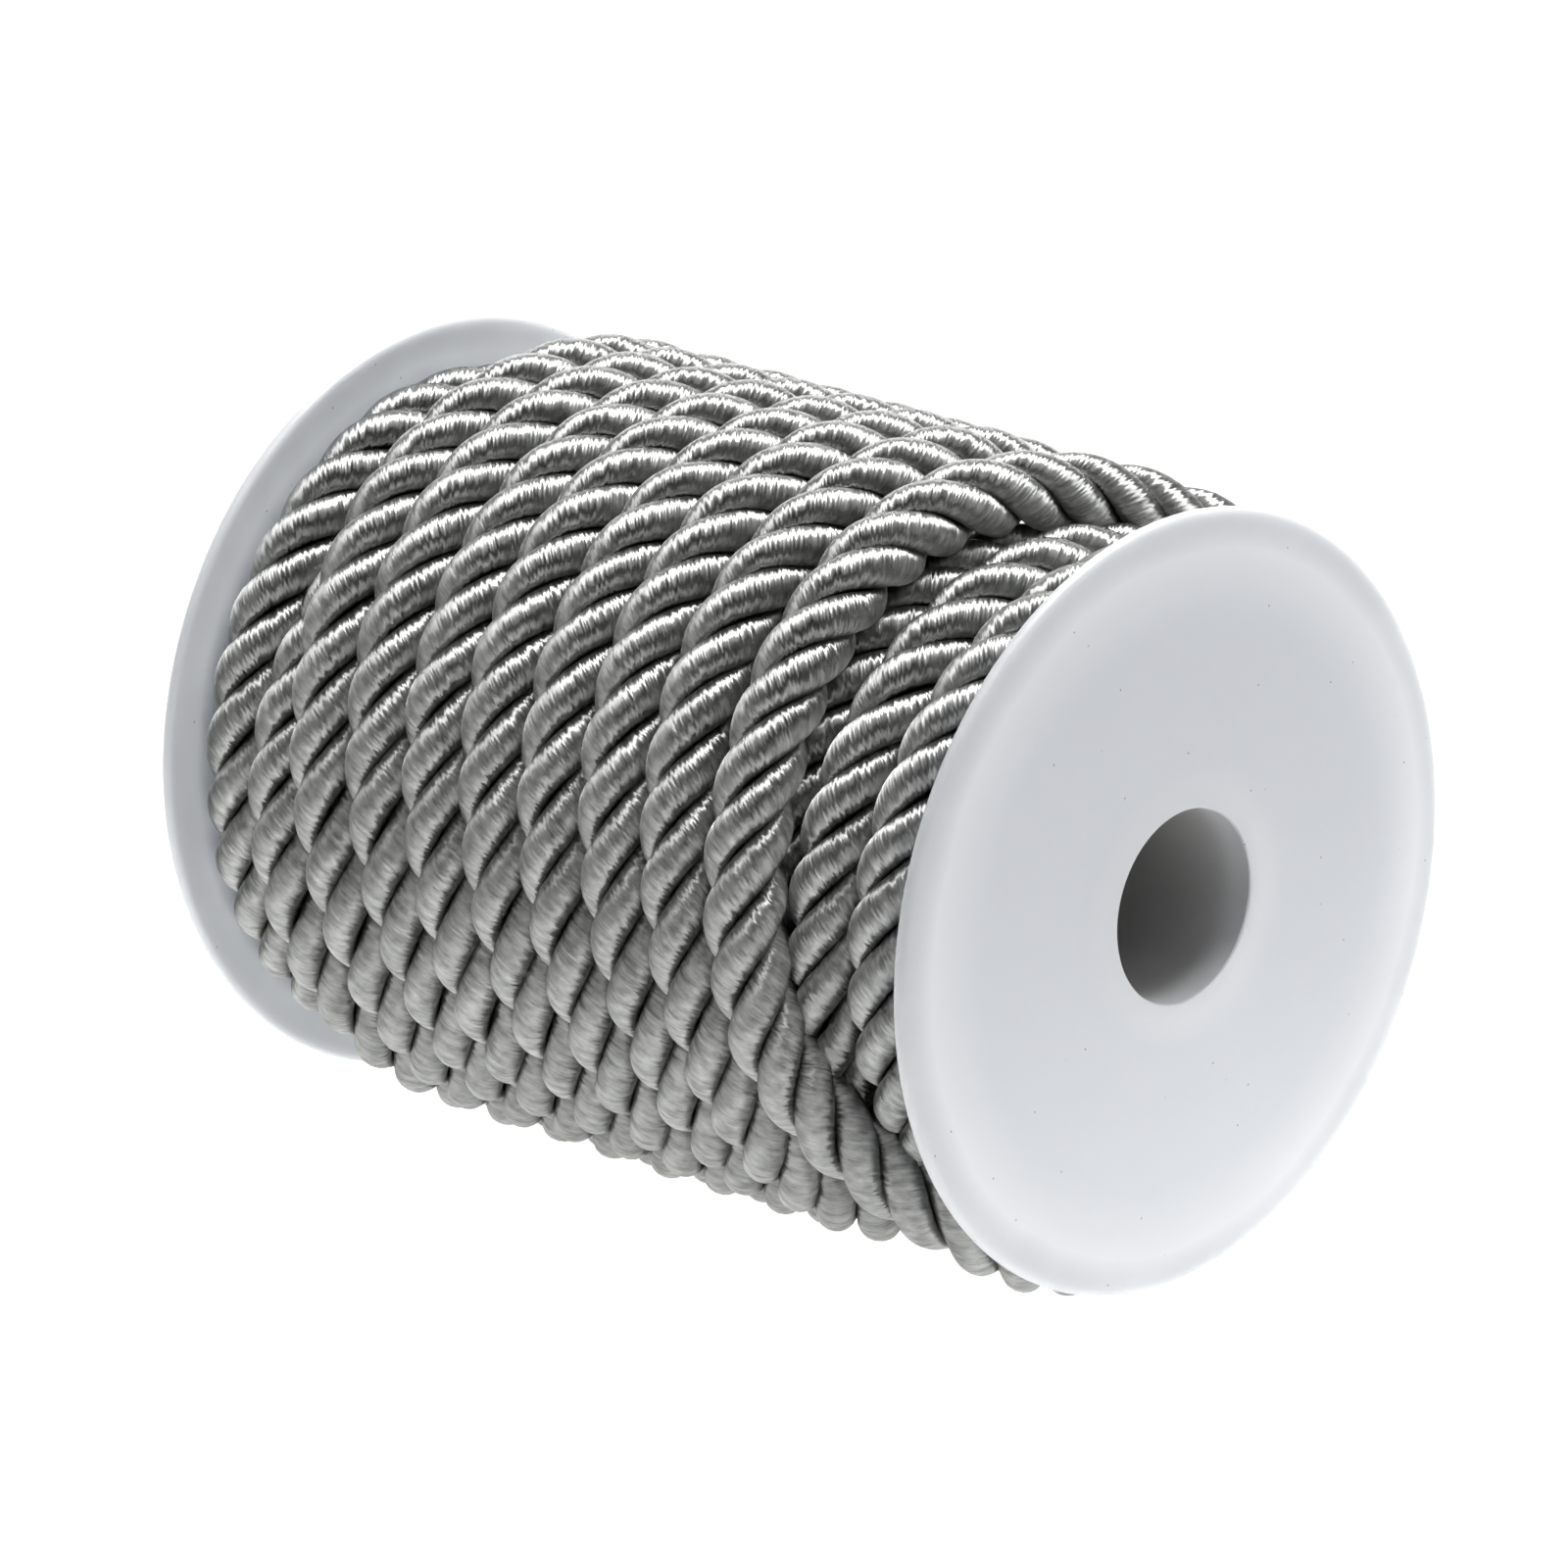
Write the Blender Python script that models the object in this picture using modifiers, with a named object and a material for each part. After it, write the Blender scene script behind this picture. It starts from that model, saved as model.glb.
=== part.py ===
"""Thick twisted satin cord wound on a white plastic spool that lies on its side.

The spool's axis runs along X, with the flange that faces the viewer at +X. The origin is
under the middle of the spool, on the surface that it rests on. Lengths are in metres.
"""
import math

import bmesh
import bpy

MM = 0.001

# Spool, in millimetres
FLANGE_RADIUS = 40.0
FLANGE_INNER_FACE = 50.3       # from the middle of the spool to each flange's inner face
FLANGE_OUTER_FACE = 52.85      # highest ring of the outer face, round the bore
BORE_RADIUS = 10.0
TUBE_RADIUS = 11.4
SEAT_DEPTH = 0.7               # recess in each flange that takes the end of the tube
PART_GAP = 0.3                 # clearance between neighbouring pieces
FLANGE_SIDES = 64
TUBE_SIDES = 48
# The lowest side of each flange is flat on the surface.
AXIS_HEIGHT = FLANGE_RADIUS * math.cos(math.pi / FLANGE_SIDES)

# Flange section from the bore over the outer face to the rim and the inner face.
# Columns: distance from the axis, distance from the middle of the spool.
FLANGE_SECTION = (
    (BORE_RADIUS, 52.6),
    (10.4, FLANGE_OUTER_FACE),
    (13.0, 52.8),
    (15.5, 52.65),
    (31.5, 52.55),
    (38.4, 51.95),
    (39.7, 51.7),
    (FLANGE_RADIUS, 51.4),
    (FLANGE_RADIUS, 50.7),
    (39.6, FLANGE_INNER_FACE),
    (TUBE_RADIUS + PART_GAP, FLANGE_INNER_FACE),
    (TUBE_RADIUS + PART_GAP, FLANGE_INNER_FACE + SEAT_DEPTH),
    (BORE_RADIUS, FLANGE_INNER_FACE + SEAT_DEPTH),
)

# Cord, in millimetres
CORD_RADIUS = 4.2
CORD_PITCH = 8.2               # from one turn to the next
OUTER_RADIUS = 37.0            # from the axis to the middle of the cord, outer layer
LOWER_RADIUS = 29.8            # the same for the layer below, seen where the outer one opens
STRAND_VALLEY = 1.1            # depth of the crevice between two strands

# Angles, in degrees, turn round the axis from the back over the top to the front.
# A regular turn lies flat over the back and top, and steps one pitch along on the front.
FIRST_TURN_X = -34.2
STEP_START = 123.0
STEP_SPAN = 104.0
REGULAR_START = -115.0
REGULAR_END = 2405.0

# The cord climbs beside the far flange and between it and the first regular turn.
# Columns: angle, place along the axis, distance from the axis.
CLIMB = (
    (-700.0, -44.7, 29.8),
    (-650.0, -45.8, 31.0),
    (-610.0, -45.9, 32.8),
    (-330.0, -45.7, 33.0),
    (-285.0, -42.4, 30.6),
    (-250.0, -39.8, 28.6),
    (-215.0, -39.6, 30.4),
    (-190.0, -39.2, 33.2),
    (-164.0, -37.4, 35.6),
    (REGULAR_START, FIRST_TURN_X, OUTER_RADIUS),
)

# The last turn slants to the near flange over the back, bows away from it on the top and
# front, and ends along it at the back. The columns are those of the climb.
LAST_TURN = (
    (REGULAR_END, 23.2, OUTER_RADIUS),
    (2460.0, 26.0, OUTER_RADIUS),
    (2513.0, 35.0, OUTER_RADIUS),
    (2536.0, 39.8, OUTER_RADIUS),
    (2551.0, 41.2, OUTER_RADIUS),
    (2563.0, 40.2, OUTER_RADIUS),
    (2574.0, 37.0, OUTER_RADIUS),
    (2584.0, 33.2, OUTER_RADIUS),
    (2595.0, 29.6, OUTER_RADIUS),
    (2608.0, 26.9, OUTER_RADIUS),
    (2630.0, 25.3, OUTER_RADIUS),
    (2676.0, 26.8, OUTER_RADIUS),
    (2716.0, 30.2, OUTER_RADIUS),
    (2736.0, 36.8, OUTER_RADIUS),
    (2752.0, 43.6, OUTER_RADIUS),
    (2768.0, 45.8, OUTER_RADIUS),
    (2862.0, 45.8, OUTER_RADIUS),
)

# The layer below is an even helix that runs the other way along the axis. Its first turns,
# beside the near flange, lie a little higher than the rest.
LOWER_START_ANGLE = -6.0
LOWER_START_X = 46.1
LOWER_END_ANGLE = 3980.0
LOWER_RISE = 1.4
RISE_END = 500.0
RISE_SPAN = 300.0

# Lattice of the wound surface: rows follow the strands, columns run along each turn.
ROWS_PER_STRAND = 3
ROWS_PER_TURN = 109
ROW_ANGLE = 360.0 / ROWS_PER_TURN
# Columns: place across the turn as a share of its half width, row shift along the strand.
COLUMNS = ((-1.0, 2), (-0.69, 1), (0.0, 0), (0.69, -1))
COLUMN_SHIFT = 4               # rows that a strand gains from one groove to the next
LATTICE_START = -300           # first and last row, just past the two flanges
LATTICE_END = 1199
LATTICE_POINT = 66.0           # points on the axis that close the lattice's ends
WINDING_END = FLANGE_INNER_FACE - PART_GAP
# Steps in millimetres and degrees to the places round a point that are averaged with it.
SOFT_REACH = ((-1.3, 0.0), (1.3, 0.0), (0.0, -2.0), (0.0, 2.0))

PLASTIC = {"colour": (0.72, 0.74, 0.76), "roughness": 0.42}
SATIN = {"colour": (0.30, 0.31, 0.31), "roughness": 0.34}


def clear_scene():
    for item in list(bpy.data.objects):
        bpy.data.objects.remove(item, do_unlink=True)


def new_collection(name):
    collection = bpy.data.collections.new(name)
    bpy.context.scene.collection.children.link(collection)
    return collection


def new_material(name, look):
    material = bpy.data.materials.new(name)
    material.use_nodes = True
    shader = material.node_tree.nodes["Principled BSDF"]
    shader.inputs["Base Color"].default_value = (*look["colour"], 1.0)
    shader.inputs["Roughness"].default_value = look["roughness"]
    shader.inputs["Metallic"].default_value = 0.0
    return material


def turned_piece(name, section, sides, collection):
    """Turn a closed section of (radius, height) rows about the local Z axis."""
    start = math.pi / sides
    points = [
        (radius * MM * math.cos(start), radius * MM * math.sin(start), height * MM)
        for radius, height in section
    ]
    count = len(points)
    mesh = bpy.data.meshes.new(name)
    mesh.from_pydata(points, [(i, (i + 1) % count) for i in range(count)], [])
    piece = bpy.data.objects.new(name, mesh)
    collection.objects.link(piece)
    screw = piece.modifiers.new("turn", "SCREW")
    screw.axis = "Z"
    screw.angle = math.tau
    screw.steps = sides
    screw.render_steps = sides
    screw.use_merge_vertices = True
    screw.merge_threshold = 0.00001
    screw.use_smooth_shade = True
    return piece


def make_flange(name, side, material, collection):
    """One moulded flange; side is 1 for the near end of the spool and -1 for the far end."""
    flange = turned_piece(name, FLANGE_SECTION, FLANGE_SIDES, collection)
    flange.location = (0.0, 0.0, AXIS_HEIGHT * MM)
    flange.rotation_euler = (0.0, side * math.pi / 2.0, 0.0)
    flange.data.materials.append(material)
    return flange


def ring_section(inner, outer, half_length):
    return (
        (outer, half_length),
        (outer, -half_length),
        (inner, -half_length),
        (inner, half_length),
    )


def make_tube(material, collection):
    """The barrel between the flanges, whose inside is the spindle bore."""
    half_length = FLANGE_INNER_FACE + SEAT_DEPTH - PART_GAP
    section = ring_section(BORE_RADIUS, TUBE_RADIUS, half_length)
    tube = turned_piece("core_tube", section, TUBE_SIDES, collection)
    tube.location = (0.0, 0.0, AXIS_HEIGHT * MM)
    tube.rotation_euler = (0.0, math.pi / 2.0, 0.0)
    tube.data.materials.append(material)
    return tube


def eased(share):
    share = min(max(share, 0.0), 1.0)
    return share * share * (3.0 - 2.0 * share)


def table_place(rows, angle):
    """Place along the axis and distance from it, on a smooth curve through a table's rows."""
    last = len(rows) - 1
    index = max(i for i in range(last) if rows[i][0] <= angle or i == 0)
    low, high = rows[index], rows[index + 1]
    span = high[0] - low[0]
    share = (angle - low[0]) / span
    place = []
    for column in (1, 2):
        slopes = []
        for row in (index, index + 1):
            if row in (0, last):
                slopes.append(0.0)
            else:
                rise = rows[row + 1][column] - rows[row - 1][column]
                slopes.append(rise / (rows[row + 1][0] - rows[row - 1][0]) * span)
        rise = high[column] - low[column]
        cubic = slopes[0] + slopes[1] - 2.0 * rise
        square = 3.0 * rise - 2.0 * slopes[0] - slopes[1]
        place.append(low[column] + share * (slopes[0] + share * (square + share * cubic)))
    return place


def regular_x(angle):
    """Middle of a regular turn; the next turn lies at the angle plus 360 degrees."""
    turn = math.floor(angle / 360.0)
    step = eased((angle - 360.0 * turn - STEP_START) / STEP_SPAN)
    return FIRST_TURN_X + CORD_PITCH * (turn + step)


def outer_place(angle):
    if angle < REGULAR_START:
        return table_place(CLIMB, angle)
    if angle > REGULAR_END:
        return table_place(LAST_TURN, angle)
    return regular_x(angle), OUTER_RADIUS


def lower_place(angle):
    turned = (angle - LOWER_START_ANGLE) / 360.0
    settled = eased((angle - RISE_END) / RISE_SPAN)
    radius = LOWER_RADIUS + LOWER_RISE * (1.0 - settled)
    return LOWER_START_X - CORD_PITCH * turned, radius


def walk(place, start, end):
    """Middle line of a cord at each whole degree: x, radius, slant and length so far."""
    steps = []
    length = 0.0
    for angle in range(int(start), int(end) + 1):
        x, radius = place(float(angle))
        next_x, next_radius = place(min(angle + 1.0, end))
        around = radius * math.radians(1.0)
        slant = math.atan2(next_x - x, around)
        steps.append((x, radius, slant, length))
        length += math.sqrt((next_x - x) ** 2 + around ** 2 + (next_radius - radius) ** 2)
    return {"start": int(start), "end": int(start) + len(steps) - 2, "steps": steps}


def read_walk(cord, angle):
    """Values of a walk between its whole degrees."""
    place = angle - cord["start"]
    index = int(place)
    share = place - index
    low, high = cord["steps"][index], cord["steps"][index + 1]
    return [a + (b - a) * share for a, b in zip(low, high)]


def wound_radius(x, angle, cords, strand_length):
    """Distance of the outermost cord's surface from the axis, less its crevice there."""
    top, valley = LOWER_RADIUS, 0.0
    for cord in cords:
        turned = angle + 360.0 * math.ceil((cord["start"] - angle) / 360.0)
        while turned < cord["end"]:
            middle, radius, slant, length = read_walk(cord, turned)
            offset = (x - middle) * math.cos(slant)
            rise = math.sqrt(max(CORD_RADIUS ** 2 - offset ** 2, 0.0))
            if rise > 0.0 and radius + rise > top:
                top = radius + rise
                along = length + (x - middle) * math.sin(slant)
                phase = 3.0 * math.asin(offset / CORD_RADIUS) + math.tau * along / strand_length
                valley = STRAND_VALLEY * 0.5 * (1.0 + math.cos(phase)) * rise / CORD_RADIUS
            turned += 360.0
    return top - valley


def lattice_point(row, column, cords, strand_length):
    """One point of the wound surface, no lower than the surface that the spool lies on."""
    across, shift = COLUMNS[column]
    angle = (row + shift) * ROW_ANGLE
    x = regular_x(angle) + across * CORD_PITCH / 2.0
    radius = wound_radius(x, angle, cords, strand_length)
    if not REGULAR_START < angle < REGULAR_END:
        # Past the regular turns the cord slants over the rows, so its sides are eased.
        for aside, along in SOFT_REACH:
            radius += wound_radius(x + aside, angle + along, cords, strand_length)
        radius /= 1 + len(SOFT_REACH)
    turn = math.radians(angle)
    height = AXIS_HEIGHT + radius * math.sin(turn)
    return x * MM, radius * math.cos(turn) * MM, max(height, 0.0) * MM


def make_winding(material, collection, cutters):
    """The wound cord as one solid, with its turns and the twist of its strands."""
    outer = walk(outer_place, CLIMB[0][0], LAST_TURN[-1][0])
    lower = walk(lower_place, LOWER_START_ANGLE, LOWER_END_ANGLE)
    turn_start = read_walk(outer, 0.0)[3]
    turn_length = read_walk(outer, 360.0)[3] - turn_start
    strand_length = turn_length * ROWS_PER_STRAND / ROWS_PER_TURN
    for step, values in enumerate(outer["steps"]):
        outer["steps"][step] = (*values[:3], values[3] - turn_start)

    build = bmesh.new()
    points = {}
    for row in range(LATTICE_START, LATTICE_END + ROWS_PER_TURN - COLUMN_SHIFT + 1):
        for column in range(len(COLUMNS) if row <= LATTICE_END else 1):
            place = lattice_point(row, column, (outer, lower), strand_length)
            points[row, column] = build.verts.new(place)

    def point(row, column):
        if column < len(COLUMNS):
            return points[row, column]
        return points[row + ROWS_PER_TURN - COLUMN_SHIFT, 0]

    for row in range(LATTICE_START, LATTICE_END):
        for column in range(len(COLUMNS)):
            corners = ((row, column), (row + 1, column), (row + 1, column + 1), (row, column + 1))
            build.faces.new([point(*corner) for corner in corners])

    turn_rows = range(ROWS_PER_TURN - COLUMN_SHIFT + 1)
    columns = range(len(COLUMNS) - 1, 0, -1)
    for end_row, side in ((LATTICE_START, -1), (LATTICE_END, 1)):
        loop = [points[end_row + row, 0] for row in turn_rows]
        loop += [points[end_row, column] for column in columns]
        tip = build.verts.new((side * LATTICE_POINT * MM, 0.0, AXIS_HEIGHT * MM))
        for here, after in zip(loop, loop[1:] + loop[:1]):
            build.faces.new((after, here, tip) if side < 0 else (here, after, tip))

    mesh = bpy.data.meshes.new("cord_winding")
    build.to_mesh(mesh)
    build.free()
    mesh.shade_smooth()
    mesh.set_sharp_from_angle(angle=math.radians(50.0))
    mesh.materials.append(material)
    winding = bpy.data.objects.new("cord_winding", mesh)
    collection.objects.link(winding)

    section = ring_section(TUBE_RADIUS + PART_GAP, 1.2 * FLANGE_RADIUS, WINDING_END)
    room = turned_piece("winding_room", section, TUBE_SIDES, cutters)
    room.location = (0.0, 0.0, AXIS_HEIGHT * MM)
    room.rotation_euler = (0.0, math.pi / 2.0, 0.0)
    room.hide_render = True
    room.display_type = "WIRE"
    trim = winding.modifiers.new("between flanges", "BOOLEAN")
    trim.operation = "INTERSECT"
    trim.solver = "EXACT"
    trim.object = room
    return winding


def main():
    clear_scene()
    parts = new_collection("cord_on_spool")
    cutters = new_collection("cutters")
    plastic = new_material("moulded_plastic", PLASTIC)
    satin = new_material("satin_cord", SATIN)
    make_flange("flange_near", 1, plastic, parts)
    make_flange("flange_far", -1, plastic, parts)
    make_tube(plastic, parts)
    make_winding(satin, parts, cutters)


main()
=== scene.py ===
import math

import bpy
import numpy as np
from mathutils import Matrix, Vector


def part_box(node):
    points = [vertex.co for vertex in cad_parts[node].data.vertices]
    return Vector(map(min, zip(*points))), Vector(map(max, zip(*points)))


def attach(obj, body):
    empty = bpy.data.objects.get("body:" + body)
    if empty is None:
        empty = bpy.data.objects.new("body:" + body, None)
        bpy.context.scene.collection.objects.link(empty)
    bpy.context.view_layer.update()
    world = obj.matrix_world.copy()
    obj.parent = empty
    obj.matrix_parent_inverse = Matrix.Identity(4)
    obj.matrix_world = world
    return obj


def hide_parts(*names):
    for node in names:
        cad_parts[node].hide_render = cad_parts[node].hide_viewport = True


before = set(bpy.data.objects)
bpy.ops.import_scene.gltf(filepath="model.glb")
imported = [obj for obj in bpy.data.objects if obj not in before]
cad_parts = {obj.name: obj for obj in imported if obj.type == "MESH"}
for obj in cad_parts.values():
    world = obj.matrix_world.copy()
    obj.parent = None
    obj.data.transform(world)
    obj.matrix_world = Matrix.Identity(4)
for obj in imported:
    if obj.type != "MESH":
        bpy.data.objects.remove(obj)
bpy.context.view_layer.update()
print("frame loaded")

mm = 0.001
root = "root"     # the body that every piece rides on
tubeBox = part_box("core_tube")
axisHeight = (tubeBox[0][2] + tubeBox[1][2]) / 2 / mm   # the spool's axis above the floor


# camera, from the photo's own perspective: a long lens, seen from above the near flange
cameraSetup = {
    "azimuth": 46.695,      # degrees from the spool's axis towards the viewer
    "elevation": 18.002,
    "distance": 1155.4,     # mm to the middle of the spool
    "lens": 260.57,         # mm
    "sensor": 36.0,
    "clip": (0.01, 50.0),   # m
    "aimRight": -1.180,     # mm, how far the picture's middle lies from the spool's middle
    "aimUp": 0.958,
}


def addCamera(setup):
    turn = math.radians(setup["azimuth"])
    rise = math.radians(setup["elevation"])
    away = Vector((math.cos(turn) * math.cos(rise), -math.sin(turn) * math.cos(rise), math.sin(rise)))
    right = Vector((math.sin(turn), math.cos(turn), 0.0))
    up = away.cross(right)
    aim = Vector((0.0, 0.0, axisHeight)) + right * setup["aimRight"] + up * setup["aimUp"]
    data = bpy.data.cameras.new("photoCamera")
    data.lens = setup["lens"]
    data.sensor_width = setup["sensor"]
    data.clip_start, data.clip_end = setup["clip"]
    camera = bpy.data.objects.new("photoCamera", data)
    bpy.context.scene.collection.objects.link(camera)
    camera.location = (aim + away * setup["distance"]) * mm
    camera.rotation_euler = (-away).to_track_quat("-Z", "Y").to_euler()
    bpy.context.scene.camera = camera


addCamera(cameraSetup)
print("camera placed")


# small helpers for colour and nodes

def linearColor(hexCode):
    channels = [int(hexCode[i:i + 2], 16) / 255 for i in (1, 3, 5)]
    return [c / 12.92 if c <= 0.04045 else ((c + 0.055) / 1.055) ** 2.4 for c in channels] + [1.0]


# kind is the node's type, settings its properties or sockets, links what its inputs take
def addNode(material, kind, settings=None, links=None):
    tree = material.node_tree
    node = tree.nodes.new(kind)
    for key, value in (settings or {}).items():
        if isinstance(key, int) or key in node.inputs.keys():
            node.inputs[key].default_value = value
        else:
            setattr(node, key, value)
    for key, source in (links or {}).items():
        tree.links.new(source, node.inputs[key])
    return node


# stops are pairs of a place from 0 to 1 and a colour
def setRamp(node, stops):
    ramp = node.color_ramp
    while len(ramp.elements) < len(stops):
        ramp.elements.new(0.5)
    for element, (place, color) in zip(ramp.elements, stops):
        element.position = place
        element.color = color


# most of a noise pattern lies between these two
noiseLow, noiseHigh = 0.3, 0.7


def newMaterial(name):
    material = bpy.data.materials.new(name)
    material.use_nodes = True
    shader = material.node_tree.nodes["Principled BSDF"]
    return material, shader


# cord: three satin strands twisted to the right, wound on in layers
cord = {
    "radius": 4.2,          # mm, cord about 8 mm thick
    "pitch": 8.2,           # from one turn to the next
    "outerRadius": 37.0,    # from the axis to the middle of the cord
    "lowerRadius": 29.8,
    "lay": 19.38,           # length of cord for one whole twist
    "strandWidth": 2.5,     # half width of a strand as it presses on its neighbours
    "ringStep": 0.8,        # mm between the rings of a strand's mesh
    "angleStep": 0.5,       # degrees between the places that its route is read off at
    "arcPoints": 13,        # on a strand's outer arc
    "arcHalf": 57.5,        # degrees to each side that a strand's outer arc spans
    "innerShare": 0.72,     # share of its reach that a strand keeps just past that arc
    "innerStep": 1.5,       # degrees past the arc at which it has come down to that
    "innerEnd": 0.35,       # mm from the cord's middle to the strand's inner end
    "twistDrift": 0.10,     # radians by which the twist runs early or late
    "twistSpans": (23.0, 61.0, 9.7),    # and the mm of cord over which it does
    "swell": 0.022,         # share by which a strand is thicker or thinner
    "swellSpans": (14.0, 37.0, 71.0),
    "swellSeed": 5,         # sets the swelling apart from the drift of the twist
    "phases": (1.7, 2.3),   # radians that set the strands and the spans apart
    "fibreSlant": 0.78,     # mm along the strand for each mm round it, as its fibres run
    "firstTurnX": -34.2,
    "stepStart": 123.0,     # degrees; a turn steps one pitch along on the front
    "stepSpan": 104.0,
    "regularStart": -115.0,     # degrees between which the turns lie evenly side by side
    "regularEnd": 2405.0,
    "floorGap": 0.02,       # the undermost turns are pressed flat on the floor
    "tipRound": 1.6,        # mm over which the strands round off at the cord's ends
    "tipCut": 0.05,         # share of that length at which the end is cut flat
}
# mm by which each regular turn lies off its even place
turnNudge = (0.6, 0.1, 0.3, -0.3, 0.0, -0.2, 0.6, 0.0)

# degrees from the back over the top to the front, then mm along the axis and from the axis: the
# climb beside the far flange, and below it the last turn, which crosses near the other one
climb = (
    (-700.0, -44.7, 29.8),
    (-650.0, -45.8, 31.0),
    (-610.0, -45.9, 32.8),
    (-330.0, -45.7, 33.0),
    (-285.0, -42.4, 30.6),
    (-250.0, -39.8, 28.6),
    (-215.0, -39.6, 30.4),
    (-190.0, -39.2, 33.2),
    (-164.0, -37.4, 35.6),
    (-115.0, -33.6, 37.0),
)
lastTurn = (
    (2405.0, 23.2, 37.0),
    (2460.0, 26.0, 37.0),
    (2513.0, 35.0, 37.0),
    (2536.0, 39.8, 37.0),
    (2551.0, 41.2, 37.0),
    (2563.0, 40.2, 37.0),
    (2574.0, 37.0, 37.0),
    (2584.0, 33.2, 37.0),
    (2595.0, 29.6, 37.0),
    (2608.0, 26.9, 37.0),
    (2630.0, 25.3, 37.0),
    (2676.0, 26.8, 37.0),
    (2716.0, 30.2, 37.0),
    (2736.0, 36.8, 37.0),
    (2752.0, 43.6, 37.0),
    (2768.0, 45.8, 37.0),
    (2862.0, 45.8, 37.0),
)
# the layer below runs the other way; its first turns lie a little higher, by the near flange
lowerHelix = {
    "startAngle": -6.0,
    "startX": 46.1,
    "endAngle": 3980.0,
    "rise": 1.4,            # mm that the first turns lie higher
    "riseEnd": 500.0,       # degrees at which they begin to come down
    "riseSpan": 300.0,      # and over which they do
}


# soft step from 0 to 1
def eased(share):
    share = min(max(share, 0.0), 1.0)
    return share * share * (3.0 - 2.0 * share)


# place and radius at an angle, on a smooth curve through the rows of a table
def tablePlace(rows, angle):
    last = len(rows) - 1
    index = max(i for i in range(last) if rows[i][0] <= angle or i == 0)
    low, high = rows[index], rows[index + 1]
    span = high[0] - low[0]
    share = (angle - low[0]) / span
    place = []
    for column in (1, 2):
        slopes = []
        for row in (index, index + 1):
            if row in (0, last):
                slopes.append(0.0)
            else:
                rise = rows[row + 1][column] - rows[row - 1][column]
                slopes.append(rise / (rows[row + 1][0] - rows[row - 1][0]) * span)
        rise = high[column] - low[column]
        cubic = slopes[0] + slopes[1] - 2.0 * rise
        square = 3.0 * rise - 2.0 * slopes[0] - slopes[1]
        place.append(low[column] + share * (slopes[0] + share * (square + share * cubic)))
    return place


# the first and the last nudge hold for what lies beyond them
def nudgeOf(turn):
    return turnNudge[min(max(turn, 0), len(turnNudge) - 1)]


def outerPlace(angle):
    if angle < cord["regularStart"]:
        return tablePlace(climb, angle)
    if angle > cord["regularEnd"]:
        return tablePlace(lastTurn, angle)
    turn = math.floor(angle / 360.0)
    step = eased((angle - 360.0 * turn - cord["stepStart"]) / cord["stepSpan"])
    nudge = nudgeOf(turn) * (1.0 - step) + nudgeOf(turn + 1) * step
    return cord["firstTurnX"] + cord["pitch"] * (turn + step) + nudge, cord["outerRadius"]


def lowerPlace(angle):
    turned = (angle - lowerHelix["startAngle"]) / 360.0
    settled = eased((angle - lowerHelix["riseEnd"]) / lowerHelix["riseSpan"])
    radius = cord["lowerRadius"] + lowerHelix["rise"] * (1.0 - settled)
    return lowerHelix["startX"] - cord["pitch"] * turned, radius


# middle line of a stretch of cord at even steps, with its frame and length so far
def cordLine(place, start, end, step):
    angles = np.arange(start, end + 0.01, cord["angleStep"])
    places = np.array([place(min(a, end)) for a in angles])
    turns = np.radians(angles)
    line = np.stack([places[:, 0], places[:, 1] * np.cos(turns), places[:, 1] * np.sin(turns)], 1)
    lengths = np.concatenate([[0.0], np.cumsum(np.linalg.norm(np.diff(line, axis=0), axis=1))])
    even = np.arange(0.0, lengths[-1], step)
    line = np.stack([np.interp(even, lengths, line[:, i]) for i in range(3)], 1)
    tangent = np.gradient(line, axis=0)
    tangent /= np.linalg.norm(tangent, axis=1)[:, None]
    outward = line * (0.0, 1.0, 1.0)
    outward -= tangent * np.sum(outward * tangent, axis=1)[:, None]
    outward /= np.linalg.norm(outward, axis=1)[:, None]
    aside = np.cross(outward, tangent)
    line[:, 2] += axisHeight
    return {"line": line, "outward": outward, "aside": aside, "length": even}


# angles and radii round the cord's middle: a plump outer arc and a narrow inner end
def strandSection():
    half = cord["radius"] / 2.0
    flat = (half / cord["strandWidth"]) ** 2
    arc = np.radians(np.linspace(-cord["arcHalf"], cord["arcHalf"], cord["arcPoints"]))
    radii = cord["radius"] * np.cos(arc) / (np.cos(arc) ** 2 + flat * np.sin(arc) ** 2)
    inner = radii[0] * cord["innerShare"]
    side = cord["arcHalf"] + cord["innerStep"]
    angles = np.concatenate([arc, np.radians([side, 0.0, -side])])
    return angles, np.concatenate([radii, [inner, cord["innerEnd"], inner]])


# slow unevenness along a strand, the same on every run
def wobble(length, seed, amount, spans):
    total = np.zeros_like(length)
    for i, span in enumerate(spans):
        total += np.sin(length * math.tau / span + seed * cord["phases"][0] + i * cord["phases"][1])
    return total * amount / len(spans)


# mm from each point of a strand's outline to the next
def sectionEdges(angles, radii):
    flat = np.stack([radii * np.cos(angles), radii * np.sin(angles)], 1)
    return np.linalg.norm(np.roll(flat, -1, axis=0) - flat, axis=1)


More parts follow.
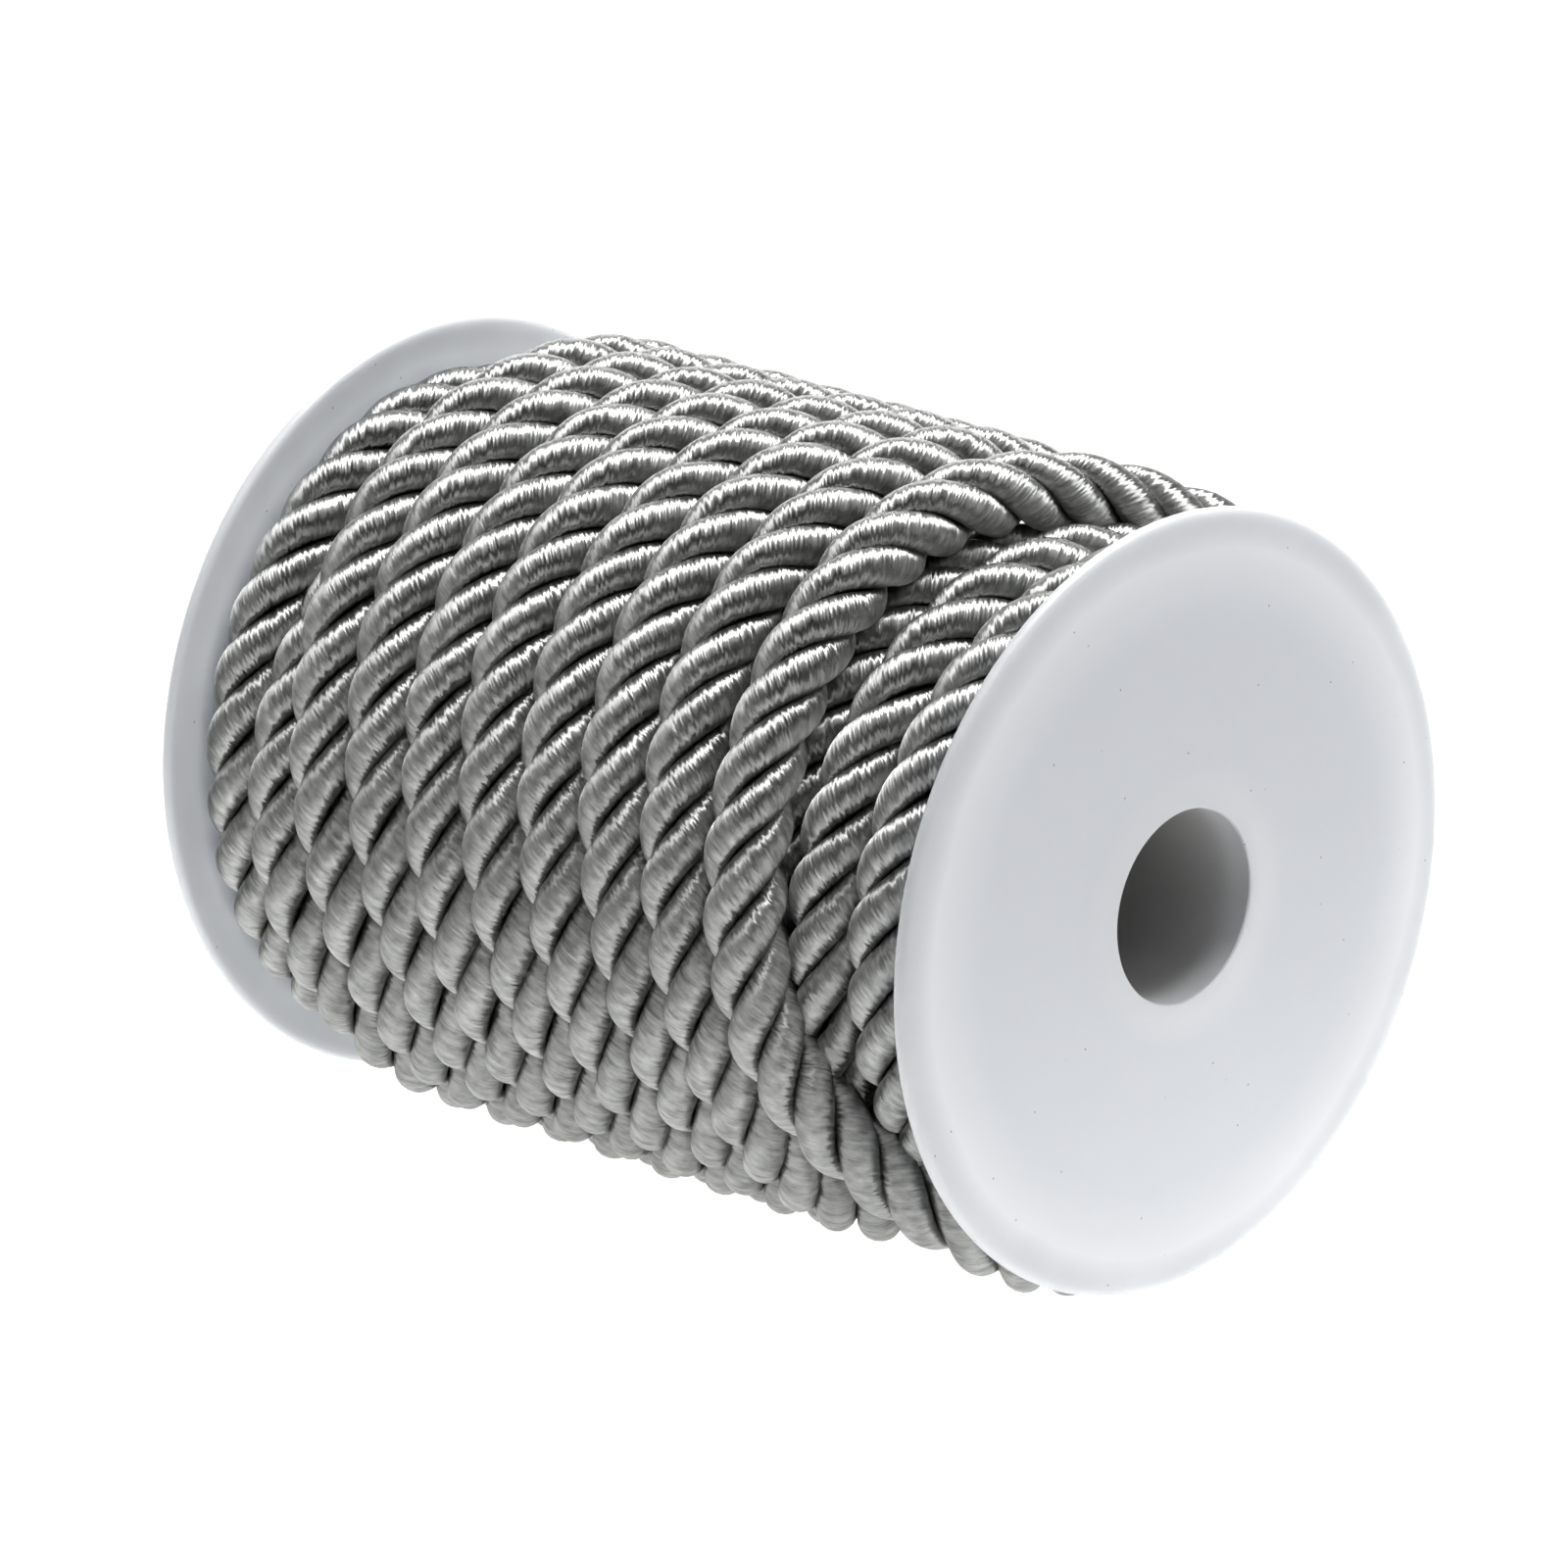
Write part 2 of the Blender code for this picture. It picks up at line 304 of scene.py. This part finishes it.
# points of one strand, ring by ring, and its place along and round for the fibre pattern
def strandRings(stretch, number):
    angles, radii = strandSection()
    length = stretch["length"]
    twist = -math.tau * length / cord["lay"] + number * math.tau / 3.0
    twist += wobble(length, number, cord["twistDrift"], cord["twistSpans"])
    swell = 1.0 + wobble(length, number + cord["swellSeed"], cord["swell"], cord["swellSpans"])
    fromEnd = np.minimum(length, length[-1] - length)
    tip = np.clip(fromEnd / cord["tipRound"], cord["tipCut"], 1.0)
    swell *= np.sqrt(1.0 - (1.0 - tip) ** 2)
    turn = angles[None, :] + twist[:, None]
    reach = radii[None, :] * swell[:, None]
    points = stretch["line"][:, None, :] + reach[..., None] * (
        np.cos(turn)[..., None] * stretch["outward"][:, None, :]
        + np.sin(turn)[..., None] * stretch["aside"][:, None, :]
    )
    points[..., 2] = np.maximum(points[..., 2], cord["floorGap"])
    crown = points[:, len(radii) // 2 - 1]
    along = np.concatenate([[0.0], np.cumsum(np.linalg.norm(np.diff(crown, axis=0), axis=1))])
    around = np.concatenate([[0.0], np.cumsum(sectionEdges(angles, radii))])
    return points, along, around


# one mesh from rings of points; the UV map's V runs round the strand and its U along it, the same
# all along a fibre, in millimetres
def tubeMesh(name, points, along, around):
    rings, count = points.shape[:2]
    ring, place = np.meshgrid(np.arange(rings - 1), np.arange(count), indexing="ij")
    after = (place + 1) % count
    quads = np.stack([ring * count + place, (ring + 1) * count + place,
                      (ring + 1) * count + after, ring * count + after], -1).reshape(-1, 4)
    v = np.stack([around[place], around[place], around[place + 1], around[place + 1]], -1)
    u = np.stack([along[ring], along[ring + 1], along[ring + 1], along[ring]], -1)
    u = u - cord["fibreSlant"] * v
    caps = [list(range(count)), [(rings - 1) * count + i for i in reversed(range(count))]]
    mesh = bpy.data.meshes.new(name)
    mesh.from_pydata((points.reshape(-1, 3) * mm).tolist(), [], quads.tolist() + caps)
    layer = mesh.uv_layers.new(name="strandUv")
    uvs = np.concatenate([np.stack([u, v], -1).reshape(-1, 2), np.zeros((2 * count, 2))])
    layer.data.foreach_set("uv", uvs.astype(np.float32).ravel())
    mesh.shade_smooth()
    mesh.validate()
    return mesh


# piece of the scene that stands in for a node of the part
def addPiece(name, mesh, material, node):
    piece = bpy.data.objects.new(name, mesh)
    bpy.context.scene.collection.objects.link(piece)
    mesh.materials.append(material)
    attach(piece, root)
    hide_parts(node)


# satin polyester yarn: bright filaments laid side by side round each strand. Together they mirror
# the light in a long band that follows the strand, and their unevenness frays the band's edges
satin = {
    "light": "#c4c5c3",
    "dark": "#8e8f8d",
    # painted shade where the strands press together
    "crevice": "#a0a09e",
    "roughness": 0.45,
    "anisotropic": 1.0,
    "metallic": 0.97,
    "fibre": 0.26,          # mm; real filaments are near 0.02 mm, drawn coarser so that they show
    "fibreRun": 6.0,        # mm that a fibre can be followed round the strand
    "tuft": 0.9,            # mm, small bundles of fibres that lie a little up or down
    "tuftRun": 10 / 3,      # mm that a bundle can be followed
    "drift": (20.0, 4.0),   # mm along and round the strand over which its tone drifts
    "shares": (0.5, 0.35),  # of the fibres and of the drift in the mixed pattern, to one of tufts
    "toneSpan": (0.65, 1.2),        # of that pattern, from the dark tone to the light one
    "creviceSpan": (0.43, 0.51),    # share of the outer arc, from its middle, where the painted shade darkens it
    "roughnessSpan": (-0.06, 0.08),     # by which fibres differ in roughness
    "fibreLean": (0.25, 0.42, 0.0),   # how far a fibre tips the surface along and round the strand,
    "tuftLean": (0.08, 0.12, 0.0),    # and a tuft; round the strand this frays the bright band
}


def satinMaterial():
    material, shader = newMaterial("satinPolyesterCord")
    uv = addNode(material, "ShaderNodeUVMap", {"uv_map": "strandUv"})
    # fibres run across the strand: fine steps along it, long ones round it
    fine = addNode(material, "ShaderNodeMapping",
                   {"Scale": (1 / satin["fibre"], 1 / satin["fibreRun"], 1.0)},
                   {"Vector": uv.outputs[0]})
    fibres = addNode(material, "ShaderNodeTexNoise",
                     {"noise_dimensions": "2D", "Scale": 1.0, "Detail": 1.5, "Roughness": 0.55},
                     {"Vector": fine.outputs[0]})
    wide = addNode(material, "ShaderNodeMapping",
                   {"Scale": (1 / satin["tuft"], 1 / satin["tuftRun"], 1.0)},
                   {"Vector": uv.outputs[0]})
    tufts = addNode(material, "ShaderNodeTexNoise",
                    {"noise_dimensions": "2D", "Scale": 1.0, "Detail": 3.0, "Roughness": 0.55},
                    {"Vector": wide.outputs[0]})
    slow = addNode(material, "ShaderNodeMapping",
                   {"Scale": (1 / satin["drift"][0], 1 / satin["drift"][1], 1.0)},
                   {"Vector": uv.outputs[0]})
    drift = addNode(material, "ShaderNodeTexNoise",
                    {"noise_dimensions": "2D", "Scale": 1.0, "Detail": 2.0},
                    {"Vector": slow.outputs[0]})
    mixed = addNode(material, "ShaderNodeMath", {"operation": "MULTIPLY_ADD", 1: satin["shares"][0]},
                    {0: fibres.outputs[0], 2: tufts.outputs[0]})
    toned = addNode(material, "ShaderNodeMath", {"operation": "MULTIPLY_ADD", 1: satin["shares"][1]},
                    {0: drift.outputs[0], 2: mixed.outputs[0]})
    spread = addNode(material, "ShaderNodeMapRange",
                     {"From Min": satin["toneSpan"][0], "From Max": satin["toneSpan"][1]},
                     {"Value": toned.outputs[0]})
    shade = addNode(material, "ShaderNodeValToRGB", {}, {"Fac": spread.outputs[0]})
    setRamp(shade, [(0.0, linearColor(satin["dark"])), (1.0, linearColor(satin["light"]))])
    # painted shade: the colour darkens towards each strand's edges, where the strands press together
    arcLength = float(sectionEdges(*strandSection())[:cord["arcPoints"] - 1].sum())
    split = addNode(material, "ShaderNodeSeparateXYZ", {}, {0: uv.outputs[0]})
    centred = addNode(material, "ShaderNodeMath", {"operation": "SUBTRACT", 1: arcLength / 2},
                      {0: split.outputs[1]})
    aside = addNode(material, "ShaderNodeMath", {"operation": "ABSOLUTE"}, {0: centred.outputs[0]})
    edge = addNode(material, "ShaderNodeMapRange",
                   {"From Min": arcLength * satin["creviceSpan"][0],
                    "From Max": arcLength * satin["creviceSpan"][1],
                    "interpolation_type": "SMOOTHSTEP"}, {"Value": aside.outputs[0]})
    color = addNode(material, "ShaderNodeMix", {"data_type": "RGBA", "blend_type": "MIX"},
                    {"Factor": edge.outputs[0], 6: shade.outputs[0]})
    color.inputs[7].default_value = linearColor(satin["crevice"])
    gloss = addNode(material, "ShaderNodeMapRange",
                    {"From Min": noiseLow, "From Max": noiseHigh,
                     "To Min": satin["roughness"] + satin["roughnessSpan"][0],
                     "To Max": satin["roughness"] + satin["roughnessSpan"][1]},
                    {"Value": fibres.outputs[0]})
    # each fibre and tuft tips the surface by its own small amount
    upright = [0.5 - (fibre + tuft) / 2 for fibre, tuft in zip(satin["fibreLean"], satin["tuftLean"])]
    tuftLean = addNode(material, "ShaderNodeVectorMath",
                       {"operation": "MULTIPLY_ADD", 1: satin["tuftLean"],
                        2: (upright[0], upright[1], 1.0)}, {0: tufts.outputs["Color"]})
    lean = addNode(material, "ShaderNodeVectorMath",
                   {"operation": "MULTIPLY_ADD", 1: satin["fibreLean"]},
                   {0: fibres.outputs["Color"], 2: tuftLean.outputs[0]})
    normal = addNode(material, "ShaderNodeNormalMap", {"space": "TANGENT", "uv_map": "strandUv"},
                     {"Color": lean.outputs[0]})
    tangent = addNode(material, "ShaderNodeTangent",
                      {"direction_type": "UV_MAP", "uv_map": "strandUv"})
    links = material.node_tree.links
    links.new(color.outputs[2], shader.inputs["Base Color"])
    links.new(gloss.outputs[0], shader.inputs["Roughness"])
    links.new(normal.outputs[0], shader.inputs["Normal"])
    links.new(tangent.outputs[0], shader.inputs["Tangent"])
    shader.inputs["Anisotropic"].default_value = satin["anisotropic"]
    shader.inputs["Metallic"].default_value = satin["metallic"]
    return material


satinCord = satinMaterial()
outerLine = cordLine(outerPlace, climb[0][0], lastTurn[-1][0], cord["ringStep"])
lowerLine = cordLine(lowerPlace, lowerHelix["startAngle"], lowerHelix["endAngle"], cord["ringStep"])
for number, word in enumerate(("One", "Two", "Three")):
    for layer, line in (("outerStrand", outerLine), ("lowerStrand", lowerLine)):
        mesh = tubeMesh(layer + word, *strandRings(line, number))
        addPiece(layer + word, mesh, satinCord, "cord_winding")
print("cord wound:", round(outerLine["length"][-1]), "mm of outer cord")


# spool: white polypropylene, injection moulded
spool = {
    "sides": 160,
    "tubeSides": 96,
    "filletSteps": 6,       # on each rounded corner
    "filletMost": 0.49,     # share of an edge that a rounding may take at each end
    "sharpAngle": 40.0,     # degrees; edges bent further than this stay sharp
}


# closed outline of (radius, place along) corners, each rounded over its third value
def roundedSection(corners, steps):
    outline = []
    count = len(corners)
    for i, (radius, place, fillet) in enumerate(corners):
        here = Vector((radius, place))
        before = Vector(corners[i - 1][:2]) - here
        after = Vector(corners[(i + 1) % count][:2]) - here
        start = here + before.normalized() * min(fillet, before.length * spool["filletMost"])
        end = here + after.normalized() * min(fillet, after.length * spool["filletMost"])
        for step in range(steps + 1):
            share = step / steps
            outline.append(start.lerp(here, share).lerp(here.lerp(end, share), share))
    return outline


# outline turned about the spool's axis; side is 1 or -1 for the end that it faces
def turnedMesh(name, outline, sides, side):
    rings = []
    for i in range(sides):
        turn = math.tau * i / sides * side
        across, upward = math.cos(turn), math.sin(turn)
        rings.append([(side * p.y, p.x * across, p.x * upward + axisHeight) for p in outline])
    points = np.array(rings)
    points[..., 2] = np.maximum(points[..., 2], 0.0)
    count = len(outline)
    faces = []
    for i in range(sides):
        after = (i + 1) % sides
        for k in range(count):
            beside = (k + 1) % count
            faces.append((i * count + k, after * count + k,
                          after * count + beside, i * count + beside))
    mesh = bpy.data.meshes.new(name)
    mesh.from_pydata((points.reshape(-1, 3) * mm).tolist(), [], faces)
    mesh.shade_smooth()
    mesh.set_sharp_from_angle(angle=math.radians(spool["sharpAngle"]))
    return mesh


# milky natural polymer: light passes some millimetres into it. Its colour also holds painted light and
# shade: the face is painted greyer where the dark cord lies behind it, lighter towards the rim and
# round the bore, and a little darker again at the very rim
polymer = {
    "base": "#d2d4d7",
    "shaded": "#c5c8cd",
    "edge": "#bcbec1",      # painted shade on the rim itself, which takes light from more sides than the face
    "edgeStart": 0.75,      # share of the way from shaded to edge at which the base tone lies
    # painted shade deep inside the bore
    "barrel": "#a8a8a7",
    "speck": "#7d7d7a",
    "roughness": 0.36,
    "roughnessSpan": (-0.05, 0.07),
    "refraction": 1.49,     # index of polypropylene
    "subsurface": 0.9,
    "depth": 4.0,           # mm that light spreads inside
    "boreGlow": (11.5, 15.5),   # mm from the axis over which the painted light ring round the bore fades
    "rimGlow": (28.0, 40.0),    # and over which the face is painted lighter towards the rim
    "barrelDepth": (48.0, 52.6),    # mm along the axis over which the bore's painted shade fades out towards its mouth
    "wall": (10.2, 10.4),   # mm from the axis, the barrel's wall
    "halo": 0.25,           # strength of the painted light ring round the bore
    "cloud": 45.0,          # per metre, soft clouds about 22 mm across
    "mottle": 0.3,          # how much the clouds change the tone
    "grain": 900.0,         # per metre, the fine unevenness of the moulded skin
    "grainDepth": 0.05,     # mm
    "grainStrength": 0.1,
    "speckCell": 3.0,       # mm between the tiny dark specks of a moulding
    "speckSize": 0.11,      # mm from a speck's middle to its edge
    "speckEdge": (0.6, 1.4),    # times that size, between which it fades
}


def polymerMaterial():
    material, shader = newMaterial("mouldedPolypropylene")
    place = addNode(material, "ShaderNodeTexCoord")
    centred = addNode(material, "ShaderNodeVectorMath",
                      {"operation": "SUBTRACT", 1: (0.0, 0.0, axisHeight * mm)},
                      {0: place.outputs["Object"]})
    across = addNode(material, "ShaderNodeVectorMath",
                     {"operation": "MULTIPLY", 1: (0.0, 1 / mm, 1 / mm)}, {0: centred.outputs[0]})
    radius = addNode(material, "ShaderNodeVectorMath", {"operation": "LENGTH"}, {0: across.outputs[0]})
    # painted light: a ring round the bore and a band towards the rim lighten the face's colour
    bore = addNode(material, "ShaderNodeMapRange",
                   {"From Min": polymer["boreGlow"][0], "From Max": polymer["boreGlow"][1],
                    "To Min": 1.0, "To Max": 0.0, "interpolation_type": "SMOOTHSTEP"},
                   {"Value": radius.outputs["Value"]})
    rim = addNode(material, "ShaderNodeMapRange",
                  {"From Min": polymer["rimGlow"][0], "From Max": polymer["rimGlow"][1],
                   "interpolation_type": "SMOOTHSTEP"}, {"Value": radius.outputs["Value"]})
    halo = addNode(material, "ShaderNodeMath", {"operation": "MULTIPLY", 1: polymer["halo"]},
                   {0: bore.outputs[0]})
    paintedLight = addNode(material, "ShaderNodeMath", {"operation": "ADD"},
                   {0: halo.outputs[0], 1: rim.outputs[0]})
    cloud = addNode(material, "ShaderNodeTexNoise", {"Scale": polymer["cloud"], "Detail": 3.0},
                    {"Vector": place.outputs["Object"]})
    mottled = addNode(material, "ShaderNodeMath",
                      {"operation": "MULTIPLY_ADD", 1: polymer["mottle"], 2: -polymer["mottle"] / 2},
                      {0: cloud.outputs[0]})
    level = addNode(material, "ShaderNodeMath", {"operation": "ADD", "use_clamp": True},
                    {0: paintedLight.outputs[0], 1: mottled.outputs[0]})
    tone = addNode(material, "ShaderNodeValToRGB", {}, {"Fac": level.outputs[0]})
    setRamp(tone, [(0.0, linearColor(polymer["shaded"])),
                   (polymer["edgeStart"], linearColor(polymer["base"])),
                   (1.0, linearColor(polymer["edge"]))])
    cells = addNode(material, "ShaderNodeTexVoronoi", {"Scale": 1 / (polymer["speckCell"] * mm)},
                    {"Vector": place.outputs["Object"]})
    size = polymer["speckSize"] / polymer["speckCell"]
    speck = addNode(material, "ShaderNodeMapRange",
                    {"From Min": size * polymer["speckEdge"][0],
                     "From Max": size * polymer["speckEdge"][1], "To Min": 1.0, "To Max": 0.0},
                    {"Value": cells.outputs["Distance"]})
    color = addNode(material, "ShaderNodeMix", {"data_type": "RGBA", "blend_type": "MIX"},
                    {"Factor": speck.outputs[0], 6: tone.outputs[0]})
    color.inputs[7].default_value = linearColor(polymer["speck"])
    # painted shade: inside the barrel the colour darkens with depth from its mouth, where the dark
    # cord behind the wall takes the light
    split = addNode(material, "ShaderNodeSeparateXYZ", {}, {0: centred.outputs[0]})
    depth = addNode(material, "ShaderNodeMath", {"operation": "ABSOLUTE"}, {0: split.outputs[0]})
    deep = addNode(material, "ShaderNodeMapRange",
                   {"From Min": polymer["barrelDepth"][0] * mm,
                    "From Max": polymer["barrelDepth"][1] * mm, "To Min": 1.0, "To Max": 0.0,
                    "interpolation_type": "SMOOTHSTEP"}, {"Value": depth.outputs[0]})
    within = addNode(material, "ShaderNodeMapRange",
                     {"From Min": polymer["wall"][0], "From Max": polymer["wall"][1],
                      "To Min": 1.0, "To Max": 0.0}, {"Value": radius.outputs["Value"]})
    inside = addNode(material, "ShaderNodeMath", {"operation": "MULTIPLY"},
                     {0: deep.outputs[0], 1: within.outputs[0]})
    withBarrelShade = addNode(material, "ShaderNodeMix", {"data_type": "RGBA", "blend_type": "MIX"},
                     {"Factor": inside.outputs[0], 6: color.outputs[2]})
    withBarrelShade.inputs[7].default_value = linearColor(polymer["barrel"])
    grain = addNode(material, "ShaderNodeTexNoise", {"Scale": polymer["grain"], "Detail": 2.0},
                    {"Vector": place.outputs["Object"]})
    gloss = addNode(material, "ShaderNodeMapRange",
                    {"From Min": noiseLow, "From Max": noiseHigh,
                     "To Min": polymer["roughness"] + polymer["roughnessSpan"][0],
                     "To Max": polymer["roughness"] + polymer["roughnessSpan"][1]},
                    {"Value": cloud.outputs[0]})
    bump = addNode(material, "ShaderNodeBump",
                   {"Strength": polymer["grainStrength"], "Distance": polymer["grainDepth"] * mm},
                   {"Height": grain.outputs[0]})
    links = material.node_tree.links
    links.new(withBarrelShade.outputs[2], shader.inputs["Base Color"])
    links.new(gloss.outputs[0], shader.inputs["Roughness"])
    links.new(bump.outputs[0], shader.inputs["Normal"])
    shader.inputs["IOR"].default_value = polymer["refraction"]
    shader.inputs["Subsurface Weight"].default_value = polymer["subsurface"]
    shader.inputs["Subsurface Radius"].default_value = (1.0, 1.0, 1.0)
    shader.inputs["Subsurface Scale"].default_value = polymer["depth"] * mm
    return material


# mm: radius, place along the axis, rounding, from the bore over the face to the rim and back
flangeCorners = (
    (10.0, 51.0, 0.05),
    (10.0, 52.8, 0.15),
    (11.3, 52.8, 0.5),
    (14.5, 52.5, 2.0),
    (31.0, 52.5, 6.0),
    (38.4, 52.0, 1.5),
    (40.0, 51.6, 0.7),
    (40.0, 50.3, 0.7),
    (11.7, 50.3, 0.1),
    (11.7, 51.0, 0.1),
)
# the barrel ends in the bore of each flange
tubeCorners = (
    (11.4, 50.7, 0.1),
    (11.4, -50.7, 0.1),
    (10.4, -50.75, 0.1),
    (10.4, -52.5, 0.15),
    (9.95, -52.5, 0.05),
    (9.95, 52.5, 0.05),
    (10.4, 52.5, 0.15),
    (10.4, 50.75, 0.1),
)

whitePolymer = polymerMaterial()
flangeOutline = roundedSection(flangeCorners, spool["filletSteps"])
tubeOutline = roundedSection(tubeCorners, spool["filletSteps"])
for name, node, side in (("nearFlange", "flange_near", 1), ("farFlange", "flange_far", -1)):
    mesh = turnedMesh(name, flangeOutline, spool["sides"], side)
    addPiece(name, mesh, whitePolymer, node)
mesh = turnedMesh("spoolBarrel", list(reversed(tubeOutline)), spool["tubeSides"], 1)
addPiece("spoolBarrel", mesh, whitePolymer, "core_tube")

# the buried layers of cord, seen only as dark depth between the turns
buried = {
    "radii": (11.8, 28.6),  # mm
    "halfLength": 49.9,
    "fillet": 0.2,
    "filletSteps": 2,
}
inner, outer = buried["radii"]
half, fillet = buried["halfLength"], buried["fillet"]
buriedCorners = (
    (outer, half, fillet),
    (outer, -half, fillet),
    (inner, -half, fillet),
    (inner, half, fillet),
)
buriedOutline = roundedSection(buriedCorners, buried["filletSteps"])
mesh = turnedMesh("buriedLayers", list(reversed(buriedOutline)), spool["tubeSides"], 1)
mesh.uv_layers.new(name="strandUv")
addPiece("buriedLayers", mesh, satinCord, "cord_winding")
print("spool made")


# stage and lights
studio = {
    "floor": "#dcdcdb",
    "floorSize": 8.0,       # m
    "floorDrop": 0.0001,    # m that it lies under the object
    "floorRoughness": 0.8,
    "white": "#ffffff",     # of the room and of the panel under the floor
    "world": 0.04,          # strength of the room's own light
    "tableGlow": 0.95,      # a light panel under the table top, which lights the object from below
    "panelReach": (0.05, 0.17),     # m from the object over which the panel's light fades
}

# name, direction from the object, distance and size in m, power in W
lights = (
    ("overheadSoftbox", (0.05, 0.25, 0.97), 1.2, (0.65, 0.65), 22.0),
    ("skyPanel", (0.0, 0.0, 1.0), 1.5, (2.6, 2.6), 22.0),
    ("sideFill", (1.0, 0.3, 0.1), 1.6, (0.8, 0.8), 2.8),
    ("backPanel", (-0.6, 0.75, 0.3), 1.4, (1.6, 1.0), 10.0),
    # behind the far flange and no larger, so that its light only shines through it
    ("farPanel", (-1.0, 0.0, 0.0), 0.3, (0.08, 0.08), 0.2),
)


def addFloor():
    location = (0.0, 0.0, -studio["floorDrop"])
    bpy.ops.mesh.primitive_plane_add(size=studio["floorSize"], location=location)
    floor = bpy.context.active_object
    floor.name = "paleFloor"
    material, shader = newMaterial("paleFloor")
    place = addNode(material, "ShaderNodeTexCoord")
    reach = addNode(material, "ShaderNodeVectorMath", {"operation": "LENGTH"},
                    {0: place.outputs["Object"]})
    panel = addNode(material, "ShaderNodeMapRange",
                    {"From Min": studio["panelReach"][0], "From Max": studio["panelReach"][1],
                     "To Min": studio["tableGlow"], "To Max": 0.0, "interpolation_type": "SMOOTHSTEP"},
                    {"Value": reach.outputs["Value"]})
    material.node_tree.links.new(panel.outputs[0], shader.inputs["Emission Strength"])
    shader.inputs["Base Color"].default_value = linearColor(studio["floor"])
    shader.inputs["Emission Color"].default_value = linearColor(studio["white"])
    shader.inputs["Roughness"].default_value = studio["floorRoughness"]
    floor.data.materials.append(material)


def addLight(name, direction, distance, size, power):
    data = bpy.data.lights.new(name, "AREA")
    data.shape = "RECTANGLE"
    data.size, data.size_y = size
    data.energy = power
    light = bpy.data.objects.new(name, data)
    bpy.context.scene.collection.objects.link(light)
    away = Vector(direction).normalized()
    light.location = away * distance + Vector((0.0, 0.0, axisHeight * mm))
    light.rotation_euler = (-away).to_track_quat("-Z", "Y").to_euler()
    light.visible_camera = False


addFloor()
world = bpy.data.worlds.new("studioWorld")
world.use_nodes = True
world.node_tree.nodes["Background"].inputs[0].default_value = linearColor(studio["white"])
world.node_tree.nodes["Background"].inputs[1].default_value = studio["world"]
bpy.context.scene.world = world
for setup in lights:
    addLight(*setup)
bpy.context.scene.view_settings.view_transform = "Standard"
print("lights set")
